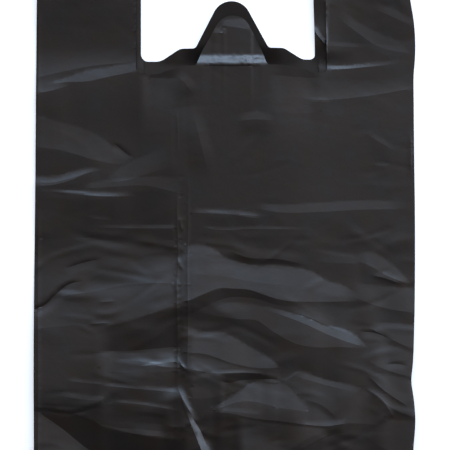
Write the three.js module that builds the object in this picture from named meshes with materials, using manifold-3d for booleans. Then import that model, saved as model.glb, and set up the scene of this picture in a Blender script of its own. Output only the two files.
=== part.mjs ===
// A plastic carrier bag of the vest kind, laid down flat.
//
// It is one blown tube of thin film. Each side of the tube is folded in as a gusset, so that the
// sides are four plies thick and the middle is two. The tube is welded across the bottom and across
// the tops of the two handles, and one die cut through all the plies makes the handles, the mouth
// and a tongue on the front panel and on the back one.
//
// Millimetres. X runs across the bag, Y from the bottom edge to the handles, and Z is up. The back
// panel lies on z = 0, and the origin is in the middle of the bag.

import * as THREE from 'three';
import { mergeVertices } from 'three/addons/utils/BufferGeometryUtils.js';
import Module from 'manifold-3d';

// Driving dimensions of the flat bag
const bagWidth = 280; // from one side fold to the other
const bagLength = 533; // from the bottom edge to the tops of the handles
const mouthWidth = 129; // between the handles
const handleHeight = 160; // from the lowest edge of the mouth to the tops of the handles
const gussetPast = 4.5; // how far a gusset reaches in past the cut edge of its handle

// Plies: the real film is about 0.02 thick, and this wall stands for it
const filmWall = 0.25;
const plyGap = 0.3;

// The cut edge of the mouth, from a handle to the tip of the tongue
const mouthCorner = 5.5; // radius beside a handle
const troughWidth = 13.5; // the lowest stretch, beside a handle
const troughCurve = 12;
const shoulderHeight = 9.7; // above the lowest edge
const shoulderWidth = 10.5; // flat stretch on each side of the tongue
const shoulderCurve = 8;
const tongueWidth = 53; // where it leaves the shoulders
const tongueRoot = 3.5; // radius where it leaves the shoulders
const tongueHeight = 44.4; // above the lowest edge of the mouth
const tongueTip = 14; // radius of its round end

// Welds, as bars that fill the stack of plies
const weldWidth = 3;
const bottomSkirt = 8; // film left loose below the bottom weld
const topSkirt = 5; // and above the weld of each handle
const weldPressed = 0.1; // how much lower than the loose plies a weld is

// How far the air and the spring of the film hold the front of the bag up
const bodyLift = 6.5; // in the middle of the body
const sideLift = 0.8; // at the side folds of the body
const loopLift = 5.6; // between the two halves of a handle, where a hand goes through
const bottomRise = 110; // length over which the body rises from its weld
const topFall = 45; // length over which the handles close to their welds
const loopRise = 75; // length over which the halves of a handle part, up to just above the mouth
const loopOpenAbove = 26; // height above the lowest edge of the mouth at which they are fully apart
const stepWidth = 6; // the front panel steps down this far in from a gusset's fold, beside a weld
const swell = 3; // the power that rounds the body from side to side

// Fineness
const riseSteps = 7;
const loopSteps = 6;
const fallSteps = 4;
const plySteps = 4; // from a side fold to the fold of its gusset
const middleSteps = 3; // from there to the middle of the bag
const foldFacets = 4;
const cutFacets = 4;

// Worked out from the values above
const halfWidth = bagWidth / 2;
const halfLength = bagLength / 2;
const mouthHalf = mouthWidth / 2;
const mouthY = halfLength - handleHeight;
const gussetX = mouthHalf - gussetPast; // the inward fold of a gusset
const plyPitch = filmWall + plyGap;
const foldRadius = filmWall + plyGap / 2; // a side fold takes two plies
const stackHeight = 4 * filmWall + 3 * plyGap;
const foldX = halfWidth - foldRadius; // centre of the side folds
const noseX = gussetX + filmWall + plyGap / 2; // centre of a gusset's inward fold
const bottomWeldY = -halfLength + bottomSkirt + weldWidth / 2;
const topWeldY = halfLength - topSkirt - weldWidth / 2;
const stepX = noseX - stepWidth;
const loopOpenY = mouthY + loopOpenAbove;

const { smoothstep, lerp, mapLinear } = THREE.MathUtils;

// Half a turn of film about a point of the section, as points
function halfTurn(x, z, radius, clockwise) {
  const last = clockwise ? -1.5 * Math.PI : 0.5 * Math.PI;
  return new THREE.EllipseCurve(x, z, radius, radius, -0.5 * Math.PI, last, clockwise).getPoints(foldFacets);
}

// The values that divide a run into equal steps, without its ends
function between(from, to, steps) {
  return Array.from({ length: steps - 1 }, (unused, i) => lerp(from, to, (i + 1) / steps));
}

// Points of the section at one height
function atHeight(z, xs) {
  return xs.map((x) => new THREE.Vector2(x, z));
}

// One face of the film through the right half of the section, from the lower side fold round the
// gusset to the middle of the front panel. depth is 0 for the outer face and the wall for the inner.
function halfSection(depth) {
  const turn = foldRadius - depth;
  const nose = plyGap / 2 + depth;
  const middle = stackHeight / 2;
  const inward = between(foldX, noseX, plySteps);
  const outward = between(noseX, foldX, plySteps);
  return [
    ...halfTurn(foldX, foldRadius, turn, false),
    ...atHeight(middle - nose, inward),
    ...halfTurn(noseX, middle, nose, true),
    ...atHeight(middle + nose, outward),
    ...halfTurn(foldX, stackHeight - foldRadius, turn, false),
    ...atHeight(stackHeight - depth, [...inward, noseX, stepX, ...between(stepX, 0, middleSteps)]),
  ];
}

// One face of the film all the way round, closed by its left half
function wholeSection(depth) {
  const right = halfSection(depth);
  const left = right.map((point) => new THREE.Vector2(-point.x, point.y)).reverse();
  return [...right, new THREE.Vector2(0, stackHeight - depth), ...left];
}

// How far the front panel stands above a stack of flat plies. Beside the bottom weld it is below
// it, because the middle of the bag has two plies and not four.
function frontLift(x, y) {
  const rise = smoothstep(y, bottomWeldY, bottomWeldY + bottomRise);
  const fall = smoothstep(topWeldY - y, 0, topFall);
  const side = lerp(sideLift, loopLift, smoothstep(y, loopOpenY - loopRise, loopOpenY));
  const across = 1 - (Math.abs(x) / halfWidth) ** swell;
  const step = 2 * plyPitch * smoothstep(noseX - Math.abs(x), 0, stepWidth);
  return rise * fall * lerp(side, bodyLift, across) - (1 - rise) * step;
}

// The share of the front panel's lift that a point of the section takes, by its height in the
// stack. In the body the plies of a gusset meet at their fold, half-way up. In the handles, where
// that fold is cut off, each ply lies against its own panel.
function liftShare(x, y, z) {
  const inward = 1 - smoothstep(Math.abs(x), gussetX, halfWidth);
  const folded = 1 - smoothstep(y, mouthY - loopOpenAbove, mouthY + loopOpenAbove / 2);
  const low = 0.5 * inward * folded;
  const heights = [filmWall, plyPitch, plyPitch + filmWall, 2 * plyPitch, 2 * plyPitch + filmWall, 3 * plyPitch];
  const shares = [0, low, low, 1 - low, 1 - low, 1];
  const next = heights.findIndex((height) => z < height);
  if (next < 0) return 1;
  if (next === 0) return 0;
  return mapLinear(z, heights[next - 1], heights[next], shares[next - 1], shares[next]);
}

// Where the section is drawn along the bag: close together where the lift changes
function stations() {
  const riseEnd = bottomWeldY + bottomRise;
  const loopStart = loopOpenY - loopRise;
  const fallStart = topWeldY - topFall;
  const places = [
    -halfLength, bottomWeldY, ...between(bottomWeldY, riseEnd, riseSteps), riseEnd,
    loopStart, ...between(loopStart, loopOpenY, loopSteps), loopOpenY,
    fallStart, ...between(fallStart, topWeldY, fallSteps), topWeldY, halfLength,
  ];
  return places.sort((a, b) => a - b);
}

// The gusseted tube of film, as a loft of the section from the bottom edge to the tops of the
// handles. Seen from above, every ply is divided along the same diagonals, so that plies that lie
// on each other stay parallel.
function filmTube() {
  const outer = wholeSection(0);
  const inner = wholeSection(filmWall);
  const section = [...outer, ...inner];
  const ys = stations();
  const positions = ys.flatMap((y) => section.flatMap(
    ({ x, y: z }) => [x, y, z + frontLift(x, y) * liftShare(x, y, z)],
  ));
  const faces = [];

  function wall(ring, first, facesInward) {
    for (let station = 0; station < ys.length - 1; station++) {
      const here = station * section.length + first;
      const there = here + section.length;
      ring.forEach((point, i) => {
        const next = (i + 1) % ring.length;
        const goesIn = Math.abs(point.x) > Math.abs(ring[next].x);
        const pair = goesIn
          ? [[here + i, there + i, there + next], [here + i, there + next, here + next]]
          : [[here + i, there + i, here + next], [here + next, there + i, there + next]];
        faces.push(...pair.map((face) => (facesInward ? face.reverse() : face)));
      });
    }
  }

  wall(outer, 0, false);
  wall(inner, outer.length, true);
  const lastStation = (ys.length - 1) * section.length;
  for (const face of THREE.ShapeUtils.triangulateShape(outer, [inner])) {
    faces.push(face);
    faces.push(face.map((i) => lastStation + i).reverse());
  }
  const geometry = new THREE.BufferGeometry();
  geometry.setAttribute('position', new THREE.Float32BufferAttribute(positions, 3));
  return geometry.setIndex(faces.flat());
}

// A weld across the bag: four plies high over the gussets and two between them
function weldBar(y) {
  const high = stackHeight - weldPressed;
  const low = 2 * foldRadius - weldPressed;
  const profile = new THREE.Shape();
  profile.moveTo(-foldX, 0).lineTo(foldX, 0).lineTo(foldX, high).lineTo(noseX, high);
  profile.lineTo(stepX, low).lineTo(-stepX, low).lineTo(-noseX, high).lineTo(-foldX, high);
  const geometry = new THREE.ExtrudeGeometry(profile, { depth: weldWidth, bevelEnabled: false });
  return geometry.rotateX(Math.PI / 2).translate(0, y + weldWidth / 2, 0);
}

// A closed outline through corners [x, y, radius], each one rounded as far as its sides allow
function roundedOutline(corners) {
  const outline = new THREE.Shape();
  corners.forEach(([x, y, radius], i) => {
    const corner = new THREE.Vector2(x, y);
    const before = new THREE.Vector2(...corners.at(i - 1)).sub(corner);
    const after = new THREE.Vector2(...corners[(i + 1) % corners.length]).sub(corner);
    const room = Math.min(before.length(), after.length()) / 2;
    before.normalize();
    after.normalize();
    const halfAngle = Math.acos(before.dot(after)) / 2;
    const reach = Math.min(radius / Math.tan(halfAngle), room);
    const start = before.clone().multiplyScalar(reach).add(corner);
    if (i === 0) outline.moveTo(start.x, start.y);
    else outline.lineTo(start.x, start.y);
    if (reach === 0) return;
    const end = after.clone().multiplyScalar(reach).add(corner);
    const toCentre = before.clone().add(after).setLength(reach / Math.cos(halfAngle));
    const centre = toCentre.add(corner);
    const from = start.clone().sub(centre);
    const to = end.clone().sub(centre);
    outline.absarc(centre.x, centre.y, from.length(), from.angle(), to.angle(), from.cross(to) < 0);
  });
  return outline;
}

// Where the two sides of the tongue would meet if its tip weren't round
function tonguePoint(shoulderY, tongueHalf) {
  const toTip = new THREE.Vector2(-tongueHalf, mouthY + tongueHeight - tongueTip - shoulderY);
  const lean = Math.asin(tongueTip / toTip.length());
  const side = toTip.clone().rotateAround(new THREE.Vector2(), -lean);
  return shoulderY - (side.y / side.x) * tongueHalf;
}

// What the die takes out of all the plies: the mouth, round the tongues, up between the handles
function mouthCut() {
  const past = 5; // beyond the film, at the top and below and above the plies
  const shoulderY = mouthY + shoulderHeight;
  const tongueHalf = tongueWidth / 2;
  const right = [
    [mouthHalf, halfLength + past, 0],
    [mouthHalf, mouthY, mouthCorner],
    [mouthHalf - troughWidth, mouthY, troughCurve],
    [tongueHalf + shoulderWidth, shoulderY, shoulderCurve],
    [tongueHalf, shoulderY, tongueRoot],
  ];
  const left = right.map(([x, y, radius]) => [-x, y, radius]).reverse();
  const outline = roundedOutline([...right, [0, tonguePoint(shoulderY, tongueHalf), tongueTip], ...left]);
  const geometry = new THREE.ExtrudeGeometry(outline, {
    depth: stackHeight + bodyLift + 2 * past,
    bevelEnabled: false,
    curveSegments: cutFacets,
  });
  return geometry.translate(0, 0, -past);
}

// Joins and cuts work on closed meshes that have positions alone
const wasm = await Module();
wasm.setup();

function toSolid(geometry) {
  geometry.deleteAttribute('normal');
  geometry.deleteAttribute('uv');
  const merged = mergeVertices(geometry);
  return new wasm.Manifold(new wasm.Mesh({
    numProp: 3,
    vertProperties: merged.attributes.position.array,
    triVerts: Uint32Array.from(merged.index.array),
  }));
}

function toGeometry(solid) {
  const mesh = solid.getMesh();
  const geometry = new THREE.BufferGeometry();
  geometry.setAttribute('position', new THREE.BufferAttribute(mesh.vertProperties, 3));
  geometry.setIndex(new THREE.BufferAttribute(mesh.triVerts, 1));
  return geometry.toNonIndexed();
}

const welded = toSolid(filmTube()).add(toSolid(weldBar(bottomWeldY))).add(toSolid(weldBar(topWeldY)));
const bagGeometry = toGeometry(welded.subtract(toSolid(mouthCut())));
bagGeometry.computeVertexNormals();

const blackFilm = new THREE.MeshStandardMaterial({ color: 0x262526, roughness: 0.35, metalness: 0 });
const carrierBag = new THREE.Mesh(bagGeometry, blackFilm);
carrierBag.name = 'carrier_bag';

const group = new THREE.Group();
group.add(carrierBag);

export default group;
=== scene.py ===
# %% [markdown]
# # A plastic carrier bag, lying flat
#
# The bag is one piece of very thin black film: a tube, tucked in at both sides, welded shut across
# the bottom and across the tops of the two handles. The mouth and the handles are cut out of the
# flattened tube in one stroke. Nothing on it is thick, so what there is to model is how the film
# lies: the plies slide on each other, and the slack gathers in folds that catch the light.
#
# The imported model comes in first. It is a fixed frame, and everything is placed in its metres.

import math
import random

import bpy
import numpy as np
from mathutils.geometry import delaunay_2d_cdt
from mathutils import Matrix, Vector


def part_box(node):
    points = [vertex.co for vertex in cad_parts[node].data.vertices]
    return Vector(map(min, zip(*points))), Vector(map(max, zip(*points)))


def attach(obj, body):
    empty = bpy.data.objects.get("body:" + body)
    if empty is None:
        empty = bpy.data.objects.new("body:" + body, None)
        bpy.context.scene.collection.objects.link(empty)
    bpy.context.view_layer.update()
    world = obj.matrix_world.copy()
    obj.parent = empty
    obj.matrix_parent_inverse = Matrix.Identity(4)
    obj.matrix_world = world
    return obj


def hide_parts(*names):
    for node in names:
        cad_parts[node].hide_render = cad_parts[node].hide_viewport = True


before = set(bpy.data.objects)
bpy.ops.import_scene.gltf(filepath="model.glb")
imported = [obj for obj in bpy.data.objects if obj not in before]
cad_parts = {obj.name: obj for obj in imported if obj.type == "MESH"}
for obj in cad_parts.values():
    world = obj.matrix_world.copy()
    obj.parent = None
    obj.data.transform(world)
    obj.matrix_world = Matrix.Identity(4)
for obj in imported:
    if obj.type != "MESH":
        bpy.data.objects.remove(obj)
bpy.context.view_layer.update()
bpy.ops.object.select_all(action="DESELECT")
low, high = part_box("carrier_bag")
half_width = round(500 * (high[0] - low[0]), 3)
half_length = round(500 * (high[1] - low[1]), 3)
print("the flat bag is", 2 * half_width, "by", 2 * half_length, "mm")

# %% [markdown]
# ## The camera
#
# The bag was laid on a table and photographed from straight above, close enough for the tops of the
# handles and the bottom weld to fall outside the picture. A longish lens keeps the sides parallel.

# %% The camera, looking straight down
view_middle = (0.4, -14.7)
view_width = 334.2
lens, sensor = 250.0, 36.0
camera_height = view_width * lens / sensor

bpy.ops.object.camera_add(
    location=(view_middle[0] / 1000, view_middle[1] / 1000, camera_height / 1000),
    rotation=(0, 0, 0))
camera = bpy.context.object
camera.name = "camera"
camera.data.lens = lens
camera.data.sensor_width = sensor
camera.data.clip_start = 0.02
bpy.context.scene.camera = camera
print("the camera is", round(camera_height), "mm above the floor")

# %% [markdown]
# ## The die cut
#
# One knife cuts the mouth through every ply. It leaves the two handles, a low shoulder and a tongue
# by which the bag hangs on its rack. A line through corners, each rounded by its own radius, is how
# a die maker would draw it.

# %% The outline that the knife leaves, from the top of one handle to the top of the other
mouth_middle = 4.8
handle_left, handle_right = -62.0, 66.6
trough, shoulder, tongue_top = 106.6, 116.2, 150.9
knife_corners = [
    (handle_right - 0.5, half_length, 0),
    (handle_right - 0.5, 150, 0),
    (handle_right + 0.6, trough + 1.6, 3.6),
    (mouth_middle + 53.0, trough + 1.6, 10),
    (mouth_middle + 39.2, shoulder + 0.6, 8),
    (mouth_middle + 27.9, shoulder + 0.6, 3.5),
    (mouth_middle, tongue_top + 16.2, 14.5),
    (mouth_middle - 26.4, shoulder, 3.5),
    (mouth_middle - 37.6, shoulder, 8),
    (mouth_middle - 52.2, trough, 12),
    (handle_left, trough, 5.5),
    (handle_left, half_length, 0),
]


def rounded(corners):
    """A line through the corners, each given as x, y and the radius that rounds it."""
    line = []
    for i, (x, y, radius) in enumerate(corners):
        corner = np.array((x, y))
        if radius == 0:
            line.append(corner)
            continue
        back = np.array(corners[i - 1][:2]) - corner
        on = np.array(corners[i + 1][:2]) - corner
        back /= np.linalg.norm(back)
        on /= np.linalg.norm(on)
        half_angle = math.acos(float(back @ on)) / 2
        middle = corner + (back + on) / np.linalg.norm(back + on) * radius / math.sin(half_angle)
        start = corner + back * radius / math.tan(half_angle) - middle
        end = corner + on * radius / math.tan(half_angle) - middle
        turn = math.copysign(math.pi - 2 * half_angle, start[0] * end[1] - start[1] * end[0])
        steps = max(3, math.ceil(abs(turn) * radius / 1.2))
        for k in range(steps + 1):
            c, s = math.cos(turn * k / steps), math.sin(turn * k / steps)
            line.append(middle + (c * start[0] - s * start[1], s * start[0] + c * start[1]))
    return line


def spaced(line, step):
    """The same line with points no further apart than step, which may be a function of y."""
    out = [line[0]]
    for a, b in zip(line, line[1:]):
        reach = step((a[1] + b[1]) / 2) if callable(step) else step
        count = max(1, math.ceil(np.linalg.norm(np.subtract(b, a)) / reach))
        out += [np.add(a, np.subtract(b, a) * k / count) for k in range(1, count + 1)]
    return out


knife_line = spaced(rounded(knife_corners), 1.7)
tip = max(p[1] for p in knife_line if abs(p[0] - mouth_middle) < 30)
print("the knife line has", len(knife_line), "points, and the tongue's tip is at", round(tip, 1))

# %% [markdown]
# ## How the plies slide
#
# The film is slack. The front panel has slid down on the back one by about a centimetre at the
# mouth, which is why the two tongues show one above the other, and its right handle has been pushed
# aside so that the tucked plies look out from under it. Further down the slack is used up in folds.
# So each point first moves within the plane, by smooth steps between a few measured places.

# %% Smooth steps and smooth lines


def ease(v, start, stop):
    """0 before start, 1 after stop, and a smooth step between."""
    t = np.clip((np.asarray(v, float) - start) / (stop - start), 0, 1)
    return t * t * (3 - 2 * t)


def hump(v, start, top, fall, stop):
    """0 before start, 1 from top to fall, 0 after stop, and smooth steps between."""
    return ease(v, start, top) * (1 - ease(v, fall, stop))


def curve(knots, v):
    """A smooth line through a few (position, value) knots, read at v."""
    at = np.array([k[0] for k in knots], float)
    value = np.array([k[1] for k in knots], float)
    slope = np.gradient(value, at)
    i = np.clip(np.searchsorted(at, v) - 1, 0, len(at) - 2)
    width = at[i + 1] - at[i]
    t = np.clip((v - at[i]) / width, 0, 1)
    a, b = value[i], value[i + 1]
    return ((2 * t ** 3 - 3 * t ** 2 + 1) * a + (t ** 3 - 2 * t ** 2 + t) * width * slope[i]
            + (3 * t ** 2 - 2 * t ** 3) * b + (t ** 3 - t ** 2) * width * slope[i + 1])


# %% Where the sides of the bag really run, in mm across, from the bottom to the top
left_side = [(-266, -140.7), (-185, -141.3), (-60, -141.3), (10, -140.4), (60, -140.0),
             (125, -139.5), (152, -139.1), (200, -137.4), (266, -136.4)]
right_side = [(-266, 139.6), (-182, 139.7), (-158, 141.2), (-144, 140.2), (-130, 138.4),
              (-117, 139.6), (-90, 140.7), (-10, 141.4), (40, 140.8), (75, 140.5), (97, 140.5),
              (110, 141.5), (128, 141.3), (140, 140.0), (152, 137.9), (200, 134.8), (266, 134.9)]


def wander(x, y_now):
    """How far the sides stray from straight, shared out over the outer half of each panel."""
    side = np.where(x > 0, curve(right_side, y_now) - half_width, curve(left_side, y_now) + half_width)
    return side * ease(np.abs(x), 70, half_width)


# %% The slide of the front panel and of the tucks, in mm
front_drop, tongue_drop, shoulder_drop = 10.0, 3.0, 3.2
right_handle_push, left_handle_push = 9.0, -3.6
tongue_push, right_flank_push = 1.2, -1.6
peep_width = 10.5


def front_slide(x, y):
    """How far the front panel has moved from the flat."""
    handle = ease(y, 104, 250)
    on_tongue = np.abs(x - 5) < 40
    down = -front_drop * ease(y, -70, 104) * (1 - handle) - tongue_drop * ease(y, 116, 150) * on_tongue
    down *= 1 - 0.5 * ease(np.abs(x), 95, 140)
    from_tongue = np.abs(x - mouth_middle)
    near_shoulder = np.exp(-((y - 115) / 8) ** 2)
    down -= shoulder_drop * near_shoulder * ease(from_tongue, 20, 27) * (1 - ease(from_tongue, 38, 54))
    by_mouth = hump(y, 20, 96, 165, 258)
    right = right_handle_push * by_mouth * (1 - ease(x, 66, 142)) * ease(x, 30, 66)
    left = left_handle_push * by_mouth * ease(x, -142, -64) * (1 - ease(x, -62, -30))
    middle = tongue_push * ease(y, 60, 110) * ease(40 - np.abs(x - 5), 0, 25)
    middle = middle + right_flank_push * ease(y, 94, 110) * ease(x, 10, 30) * (1 - ease(x, 40, 54))
    return right + left + middle, down


def tuck_slide(x, y, share):
    """The tucked plies follow the front panel at the side fold, and slip under it further in."""
    _, down = front_slide(x, y)
    inward = ease(half_width - np.abs(x), 0, 60)
    peep = peep_width * (1 - ease(y, 113.5, 131)) * ease(y, 40, 104) * (x > 0)
    return peep * inward * (0.85 + 0.15 * share), down * (1 - inward) * share


def front_place(x, y):
    """Where a point of the front panel comes to lie."""
    across, down = front_slide(x, y)
    x_now, y_now = x + across, y + down
    return x_now + wander(x, y_now), y_now


def front_unplace(x_now, y_now):
    """The point of the flat front panel that comes to lie there, found by trying again and again."""
    x, y = x_now.copy(), y_now.copy()
    for _ in range(24):
        x_try, y_try = front_place(x, y)
        x, y = x + x_now - x_try, y + y_now - y_try
    return x, y


test = front_place(*front_unplace(np.array([-100.0, 5.0, 80.0]), np.array([90.0, 120.0, 60.0])))
print("the way back from the placed film finds", np.round(test, 2).tolist())

# %% [markdown]
# ## Folds
#
# A crease in film is a line: on one side the film climbs to it, on the other it falls away. The
# first helper takes the line of the crest, how high the crest stands, and how wide the slope is on
# its upper side (towards the handles, where the light comes from) and on its lower side. The second
# makes a whole facet, which lies between two creases. A slope can be even, bend most at the crest,
# bend most at the foot, or be soft all over. The heights of all the folds add up, as they do in real
# slack film, where big folds carry small ones.

# %% A crease
slopes = {
    "even": lambda t: 1 - t,
    "crest": lambda t: (1 - t) ** 2,
    "foot": lambda t: 1 - t * t,
    "soft": lambda t: 1 - t * t * (3 - 2 * t),
}


def smooth_line(knots, pieces=6):
    """A smooth line through the knots, as a chain of short straight pieces."""
    k = np.array(knots, float)
    if len(k) == 2:
        return k
    run = np.concatenate([[0], np.cumsum(np.hypot(*np.diff(k, axis=0).T))])
    spans = [np.linspace(a, b, pieces, endpoint=False) for a, b in zip(run, run[1:])]
    at = np.concatenate(spans + [run[-1:]])
    return np.column_stack([curve(list(zip(run, k[:, i])), at) for i in (0, 1)])


def fold(x, y, knots, rise, up, down, over="even", under="soft", fade=(0.3, 0.3)):
    """The height that one crease adds at the points x, y. Its line runs so that up is on its left,
    and fade is the share of its length that each end takes to rise."""
    line = smooth_line(knots)
    ups, downs = (w if isinstance(w, tuple) else (w, w) for w in (up, down))
    reach = max(*ups, *downs)
    near = ((x > line[:, 0].min() - reach) & (x < line[:, 0].max() + reach)
            & (y > line[:, 1].min() - reach) & (y < line[:, 1].max() + reach))
    out = np.zeros(len(x))
    if not near.any():
        return out
    px, py = x[near], y[near]
    best = np.full(len(px), np.inf)
    side, along = np.zeros(len(px)), np.zeros(len(px))
    steps = np.diff(line, axis=0)
    run = np.concatenate([[0], np.cumsum(np.hypot(*steps.T))])
    aims = steps / np.hypot(*steps.T)[:, None]
    aims = np.vstack([aims[:1], aims[1:] + aims[:-1], aims[-1:]])
    aims /= np.hypot(*aims.T)[:, None]
    spans = zip(line, steps, aims, aims[1:], run, run[1:])
    for (ax, ay), (dx, dy), (ux, uy), (vx, vy), r0, r1 in spans:
        t = np.clip(((px - ax) * dx + (py - ay) * dy) / (dx * dx + dy * dy), 0, 1)
        off_x, off_y = px - ax - t * dx, py - ay - t * dy
        gap = np.hypot(off_x, off_y)
        closer = gap < best
        best = np.where(closer, gap, best)
        side = np.where(closer, (ux + t * (vx - ux)) * off_y - (uy + t * (vy - uy)) * off_x, side)
        along = np.where(closer, (r0 + t * (r1 - r0)) / run[-1], along)
    wide_up = ups[0] + (ups[1] - ups[0]) * along
    wide_down = downs[0] + (downs[1] - downs[0]) * along
    above = slopes[over](np.clip(best / wide_up, 0, 1))
    below = slopes[under](np.clip(best / wide_down, 0, 1))
    ends = ease(along, 0, max(fade[0], 1e-6)) * ease(1 - along, 0, max(fade[1], 1e-6))
    out[near] = rise * ends * np.where(side > 0, above, below)
    return out


# %% A facet between two creases


def band(x, y, foot, crest, tilt, fade, fall=60.0, over="even"):
    """A facet between two creases that run across the bag: the film climbs from the foot, above,
    down to the crest, tilted to the light by so many degrees, and sinks back over the length fall.
    Its left and right ends rise over the two lengths in fade."""
    left, right = max(foot[0][0], crest[0][0]), min(foot[-1][0], crest[-1][0])
    top, bottom = curve(foot, x), curve(crest, x)
    width = np.maximum(top - bottom, 0)
    t = (y - bottom) / np.maximum(width, 0.3)
    above = slopes[over](np.clip(t, 0, 1))
    below = slopes["soft"](np.clip((bottom - y) / fall, 0, 1))
    shape = np.where(t >= 0, above, below)
    # a facet that runs off the side of the bag does not end there
    ends = ease(x, left, left + fade[0]) if left > -half_width else 1.0
    ends = ends * (1 - ease(x, right - fade[1], right)) if right < half_width else ends
    return math.tan(math.radians(tilt)) * width * ends * shape


# %% [markdown]
# ## The folds of the front panel
#
# Every fold that the photograph shows is placed one by one, in millimetres from the middle of the bag:
# first the handles, then the upper body, and last the lower body, where the bag was folded to be
# packed and the film has kept it. A facet is written as places across the bag, each with its x, the
# y of its foot and the y of its crest, or as two lines where the foot and the crest bend at
# different places. A crease is the line of its crest.

# %% How a facet and a crease are written down


def facet(across=(), foot=None, crest=None, **numbers):
    """What band() needs, from places (x, foot, crest) or from two separate lines."""
    foot = foot or [(x, top) for x, top, _ in across]
    crest = crest or [(x, bottom) for x, _, bottom in across]
    return dict(foot=foot, crest=crest, **numbers)


def crease(knots, **numbers):
    """What fold() needs."""
    return dict(knots=knots, **numbers)


# %% The handles
handle_bands = [
    facet(foot=[(-134, 90.5), (-118, 94.5), (-104, 99.5), (-84, 103), (-62, 107), (-55, 108.6)],
          crest=[(-134, 89), (-118, 91.2), (-102, 91.8), (-86, 95.2), (-62, 100), (-55, 101.6)],
          tilt=10.5, fade=(14, 8)),
    facet([(-62, 107, 95), (-46, 107, 94), (-30, 106, 94)], tilt=-6, fall=40, fade=(8, 16)),
    facet([(-142, 97, 82.5), (-128, 97.5, 85), (-112, 99, 90)], tilt=6, fall=50, fade=(3, 16),
          over="crest"),
    facet([(-142, 116, 94), (-100, 117, 103), (-60, 116, 107), (-40, 116, 110)], tilt=3.5, fade=(4, 26),
          over="crest"),
    facet([(22, 175, 122), (100, 172, 120), (142, 172, 118)], tilt=-1.6, fall=90, fade=(42, 4)),
    facet([(54, 104, 101), (70, 104, 100.6), (84, 103.5, 100.8), (104, 105, 102.4), (138, 109, 106)],
          tilt=20, fall=30, fade=(18, 50)),
    facet([(32, 107, 97), (50, 106, 95), (72, 104, 94)], tilt=-4.5, fall=50, fade=(12, 10)),
    facet(foot=[(48, 95), (70, 94.5), (100, 95), (142, 95)],
          crest=[(48, 80), (70, 78), (98, 80), (142, 87)], tilt=3.8, fade=(26, 10), over="crest"),
    facet([(82, 148, 141), (96, 138, 130), (112, 129, 119), (140, 118, 112)], tilt=5, fall=40,
          fade=(14, 10)),
    facet([(108, 152, 147), (124, 146, 140), (140, 138, 133)], tilt=4.5, fall=30, fade=(12, 4)),
    facet([(-3, 136.5, 133), (8, 138, 131.6), (22, 137, 129.4)], tilt=8, fall=70, fade=(3, 3)),
    facet([(-10, 131, 128), (-4, 131.4, 127.4), (2, 130.6, 128)], tilt=8, fall=70, fade=(3, 3)),
    facet([(-17, 104.4, 103.2), (4, 104.2, 102.6), (28, 104.4, 103.2)], tilt=-10, fall=30, fade=(4, 4),
          over="crest"),
    facet([(76, 121.5, 118.5), (92, 120.5, 117.5), (108, 119, 117)], tilt=5, fall=30, fade=(2, 16)),
]

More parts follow.
